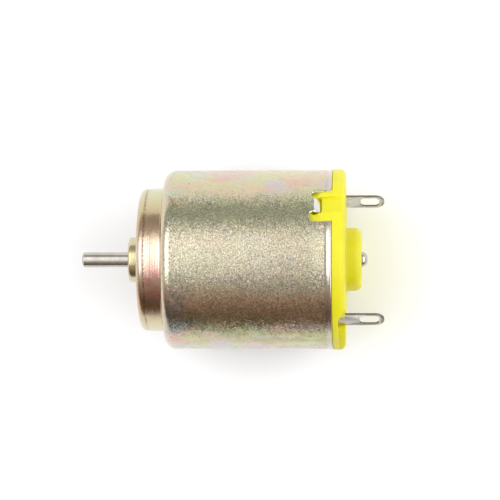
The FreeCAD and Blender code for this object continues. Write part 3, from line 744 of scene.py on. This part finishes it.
EDGE_STEPS = [(EDGE * (1 - math.sin(a)), EDGE * (1 - math.cos(a)))
              for a in [math.radians(d) for d in (0, 18, 36, 54, 72, 90)]]
LIP = 1.2                          # the mouth's fine form lies within this of the rim
LIP_ROWS = 20
FAR_ROWS = 12
MOUTH_ROWS = [EDGE + (LIP - EDGE) * k / LIP_ROWS for k in range(LIP_ROWS)]
MOUTH_ROWS += [LIP + (MOUTH - LIP) * (k / FAR_ROWS) ** 1.2 for k in range(FAR_ROWS + 1)]


def inside(p, loop):
    hit = False
    for a, b in zip(loop, loop[1:] + loop[:1]):
        if (a.y > p.y) != (b.y > p.y) and p.x < a.x + (b.x - a.x) * (p.y - a.y) / (b.y - a.y):
            hit = not hit
    return hit


def mouth_patch(verts, faces, centre):
    """Can's wall around one crimp notch, with its rounded edges and its bent tab."""
    edge = notch_outline()
    normals = edge_normals(edge)
    rings = []
    depths = [d for inset, d in EDGE_STEPS] + [WALL - d for inset, d in reversed(EDGE_STEPS)]
    insets = [inset for inset, d in EDGE_STEPS] + [inset for inset, d in reversed(EDGE_STEPS)]
    for inset, depth in zip(insets, depths):
        ring = []
        for p, n in zip(edge, normals):
            q = p + n * inset
            ring.append(len(verts))
            verts.append(sheet_point(q.y, q.x, depth, centre, is_tab(p)))
        rings.append(ring)
    for a, b in zip(rings, rings[1:]):
        for k in range(len(edge) - 1):
            faces.append([a[k + 1], a[k], b[k], b[k + 1]])

    reach = CAN_R * math.radians(PATCH_HALF_DEG)
    border = [p + n * EDGE for p, n in zip(edge, normals)]
    columns = [-reach + 2 * reach * k / (2 * PATCH_HALF_DEG) for k in range(2 * PATCH_HALF_DEG + 1)]
    loop = list(border)
    loop += [Vector((reach, u)) for u in MOUTH_ROWS[1:]]
    loop += [Vector((t, MOUTH)) for t in reversed(columns[1:-1])]
    loop += [Vector((-reach, u)) for u in reversed(MOUTH_ROWS[1:])]
    inner = []
    fine = [u for u in MOUTH_ROWS if EDGE < u < LIP]
    fine += [LIP + 0.12 * k for k in range(19)] + [u for u in MOUTH_ROWS if u > LIP + 0.12 * 19]
    spread = [-reach + 2 * reach * (k + 0.5) / (2 * PATCH_HALF_DEG) for k in range(2 * PATCH_HALF_DEG)]
    for row, u in enumerate(fine[:-1]):
        for t in (columns[1:-1] if row % 2 else spread):
            p = Vector((t, u))
            near = min((p - q).length for q in border)
            if near > 0.05 and inside(p, loop):
                if abs(abs(t) - reach) > 0.08 and MOUTH - u > 0.05:
                    inner.append(p)
    coords = loop + inner
    result = geometry.delaunay_2d_cdt(coords, [], [list(range(len(loop)))], 1, 1e-6)
    flat, tris = result[0], result[2]
    for depth, flip in ((0, False), (WALL, True)):
        start = len(verts)
        for p in flat:
            verts.append(sheet_point(p.y, p.x, depth, centre, is_tab(p)))
        for tri in tris:
            f = [start + k for k in tri]
            faces.append(f if flip else f[::-1])


def can_profiles():
    """Outer and inner (x, r) lines of the can, from the boss's mouth to the mouth patch."""
    x_seam = X_RIM + MOUTH
    outer = rounded([
        (X_BOSS, BOSS_HOLE_R),
        (X_BOSS, BOSS_R, 0.4),
        (0, BOSS_R, 0.25),
        (0, NOSE_R - NOSE_DRAFT, 0.8),
        (-0.88, NOSE_R - NOSE_DRAFT + 0.03, 0.1),
        (-1.00, NOSE_R - NOSE_DRAFT, 0.1),
        (-1.12, NOSE_R - NOSE_DRAFT + 0.04, 0.1),
        (X_SHOULDER, NOSE_R, 0.3),
        (X_SHOULDER, CAN_R, 1.3),
        (x_seam, CAN_R),
    ])
    inner = rounded([
        (x_seam, CAN_R - WALL),
        (X_SHOULDER - WALL, CAN_R - WALL, 0.8),
        (X_SHOULDER - WALL, NOSE_R - WALL, 0.8),
        (-WALL, NOSE_R - WALL, 0.3),
        (-WALL, BUSH_R, 0.25),
        (X_BOSS - WALL, BUSH_R),
        (X_BOSS - WALL, BOSS_HOLE_R),
    ])
    return split_long(outer, 0.8), split_long(inner, 3.0)


def motor_can():
    verts, faces = [], []
    outer, inner = can_profiles()
    ring_rows = []

    def add_ring(x, r, clocks):
        ring_rows.append(list(range(len(verts), len(verts) + len(clocks))))
        verts.extend(around(x, r, c) for c in clocks)

    clocks = [ROLL + math.radians(k) for k in range(AROUND)]     # in step with the mouth patches
    for p in inner + outer:
        add_ring(p.x, p.y, clocks)
    for a, b in zip(ring_rows, ring_rows[1:]):
        for k in range(AROUND):
            j = (k + 1) % AROUND
            faces.append([a[k], a[j], b[j], b[k]])

    centres = [ROLL - math.pi / 2, ROLL + math.pi / 2]
    for centre in centres:
        mouth_patch(verts, faces, centre)

    # the plain stretches of the mouth between the two patches
    half = math.radians(PATCH_HALF_DEG)
    for start in centres:
        columns = 2 * (90 - PATCH_HALF_DEG)
        sweep = [start + half + k * (math.pi - 2 * half) / columns for k in range(columns + 1)]
        rows = []
        line = [(MOUTH_ROWS[k], 0.0) for k in range(len(MOUTH_ROWS) - 1, 0, -1)]
        line += EDGE_STEPS
        line += [(inset, WALL - depth) for inset, depth in reversed(EDGE_STEPS)]
        line += [(u, WALL) for u in MOUTH_ROWS[1:]]
        for u, depth in line:
            rows.append(list(range(len(verts), len(verts) + len(sweep))))
            verts.extend(around(X_RIM + u, CAN_R + flare(u) - depth, c) for c in sweep)
        for a, b in zip(rows, rows[1:]):
            for k in range(columns):
                faces.append([a[k], a[k + 1], b[k + 1], b[k]])
    can = new_object("can_shell", verts, faces, ZINC)
    weld(can, 2e-6)
    return can


# ---------------------------------------------------------------- turned pieces

def shaft_piece():
    chamfer = 0.22
    line = rounded([
        (X_SHAFT_FRONT, 0),
        (X_SHAFT_FRONT, SHAFT_R - chamfer, 0.06),
        (X_SHAFT_FRONT - chamfer, SHAFT_R, 0.1),
        (X_BOSS, SHAFT_R, 0.02),
        (X_BOSS, SHAFT_R - 0.16),
        (X_BOSS - 0.55, SHAFT_R - 0.16),
        (X_BOSS - 0.55, SHAFT_R, 0.02),
        (X_SHAFT_REAR, SHAFT_R, 0.8),
        (X_SHAFT_REAR, 0),
    ], support=0.05)
    piece = lathe("shaft_turned", split_long(line, 1.5), STEEL, 96, closed=False)
    weld(piece)
    return piece


can = motor_can()
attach(can, "stator")
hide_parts("motor_can")

shaft = shaft_piece()
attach(shaft, "rotor")
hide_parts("shaft")

replaced = {"motor_can", "shaft"}
for subpart in frame["record"]["subparts"]:
    if subpart["node"] in replaced:
        continue
    node = nodes[subpart["node"]]
    finish = FINISH_OF_SLOT[subpart["material_slot"]]
    for slot in node.material_slots:
        slot.material = finish
    for poly in node.data.polygons:
        poly.use_smooth = True

SOFT_EDGES = {"endbell": 0.09, "terminal_a": 0.05, "terminal_b": 0.05}     # widths in mm
for name, width in SOFT_EDGES.items():
    merge = nodes[name].modifiers.new("joined_faces", "WELD")     # else the bevel opens the mesh
    merge.merge_threshold = 0.001 * MM
    soften = nodes[name].modifiers.new("soft_edges", "BEVEL")
    soften.width = width * MM
    soften.segments = 3
    soften.limit_method = "ANGLE"
    soften.angle_limit = math.radians(35)
    soften.harden_normals = True
    soften.use_clamp_overlap = True

# ---------------------------------------------------------------- floor, light, camera

FLOOR_Z = cad_box[0][2] / MM
FLOOR_HALF = 900
floor = new_object("floor", [
    (-FLOOR_HALF, -FLOOR_HALF, FLOOR_Z), (FLOOR_HALF, -FLOOR_HALF, FLOOR_Z),
    (FLOOR_HALF, FLOOR_HALF, FLOOR_Z), (-FLOOR_HALF, FLOOR_HALF, FLOOR_Z),
], [(0, 1, 2, 3)], paper_floor(), smooth=False)


# The studio: a broad soft light overhead, leaning to the shaft's side, and a room that is
# pale behind the part and dim in front of it.
# Angles are in degrees: "swing" is off the zenith towards +Y, "lean" is towards +X.

PALE_WALL = (1.20, 1.20, 1.18)
GREY_WALL = (0.45, 0.45, 0.43)
CEILING = (0.63, 0.63, 0.62)
BROWN_WALL = (0.45, 0.40, 0.35)
DARK_WALL = (0.16, 0.13, 0.09)
ROOM_BY_SWING = [
    (-180, PALE_WALL), (-84, PALE_WALL), (-75, GREY_WALL), (-45, CEILING), (20, CEILING),
    (46, BROWN_WALL), (72, DARK_WALL), (92, DARK_WALL), (112, CEILING), (180, PALE_WALL),
]
ENDS = (1.0, 1.0, 1.0)
SOFT_LIGHT = 3.8
SWING_RISE = (-50, -25)
SWING_FALL = (8, 36)
SWING_MIDDLE = -12
LEAN_RISE = (-2, 23)
LEAN_SKEW = 0.12                   # how much the light's near edge runs aslant
LEAN_FALL = (40, 58)
FILL_LIGHT = 3.4
FILL_RISE = (-22, -34)
FILL_FALL = (-50, -62)


def studio():
    world = bpy.data.worlds.new("studio")
    bpy.context.scene.world = world
    world.use_nodes = True
    s = Nodes(world.node_tree)
    out = s.tree.nodes.new("ShaderNodeOutputWorld")
    back = s.tree.nodes.new("ShaderNodeBackground")
    s.link(back.outputs[0], out.inputs["Surface"])
    x, y, z = s.split(s.tree.nodes.new("ShaderNodeTexCoord").outputs["Generated"])
    degree = 180 / math.pi
    swing = s.math("MULTIPLY", s.math("ARCTAN2", y, z), degree)
    lean = s.math("MULTIPLY", s.math("ARCSINE", x), degree)
    room = s.ramp(s.math("DIVIDE", s.math("ADD", swing, 180.0), 360.0),
                  [((angle + 180) / 360, colour) for angle, colour in ROOM_BY_SWING])
    ends = s.spread(s.math("ABSOLUTE", lean), 45, 80)
    room = s.mix(ends, room, ENDS)
    skewed = s.math("SUBTRACT", lean, s.math("MULTIPLY", s.math("SUBTRACT", swing, SWING_MIDDLE), LEAN_SKEW))
    light = s.math("MULTIPLY", s.spread(swing, *SWING_RISE), s.spread(swing, *SWING_FALL, 1, 0))
    light = s.math("MULTIPLY", light, s.spread(skewed, *LEAN_RISE, smooth=False))
    light = s.math("MULTIPLY", light, s.spread(lean, *LEAN_FALL, 1, 0))
    fill = s.math("MULTIPLY", s.spread(lean, *FILL_RISE), s.spread(lean, *FILL_FALL, 1, 0))
    fill = s.math("MULTIPLY", fill, s.spread(s.math("ABSOLUTE", swing), 34, 66, 1, 0))
    room = s.mix(fill, room, (FILL_LIGHT, FILL_LIGHT, FILL_LIGHT))
    s.link(s.mix(light, room, (SOFT_LIGHT, SOFT_LIGHT * 0.99, SOFT_LIGHT * 0.98)), back.inputs["Color"])


studio()

SENSOR = 36
LENS = 173
EYE = Vector((-32.9, -1.27, 320)) * MM
LOOK_AT = Vector((-14.42, -1.27, 0)) * MM
TILT = math.radians(0.1)

camera_data = bpy.data.cameras.new("camera")
camera_data.sensor_width = SENSOR
camera_data.lens = LENS
camera_data.clip_start = 0.01
camera_data.clip_end = 20
camera = bpy.data.objects.new("camera", camera_data)
bpy.context.scene.collection.objects.link(camera)
bpy.context.scene.camera = camera

forward = (LOOK_AT - EYE).normalized()
up = Vector((-math.sin(TILT), -math.cos(TILT), 0))
right = forward.cross(up).normalized()
up = right.cross(forward)
basis = Matrix((right, up, -forward)).transposed().to_4x4()
camera.matrix_world = Matrix.Translation(EYE) @ basis

bpy.context.scene.view_settings.view_transform = "Standard"
bpy.context.scene.view_settings.look = "None"
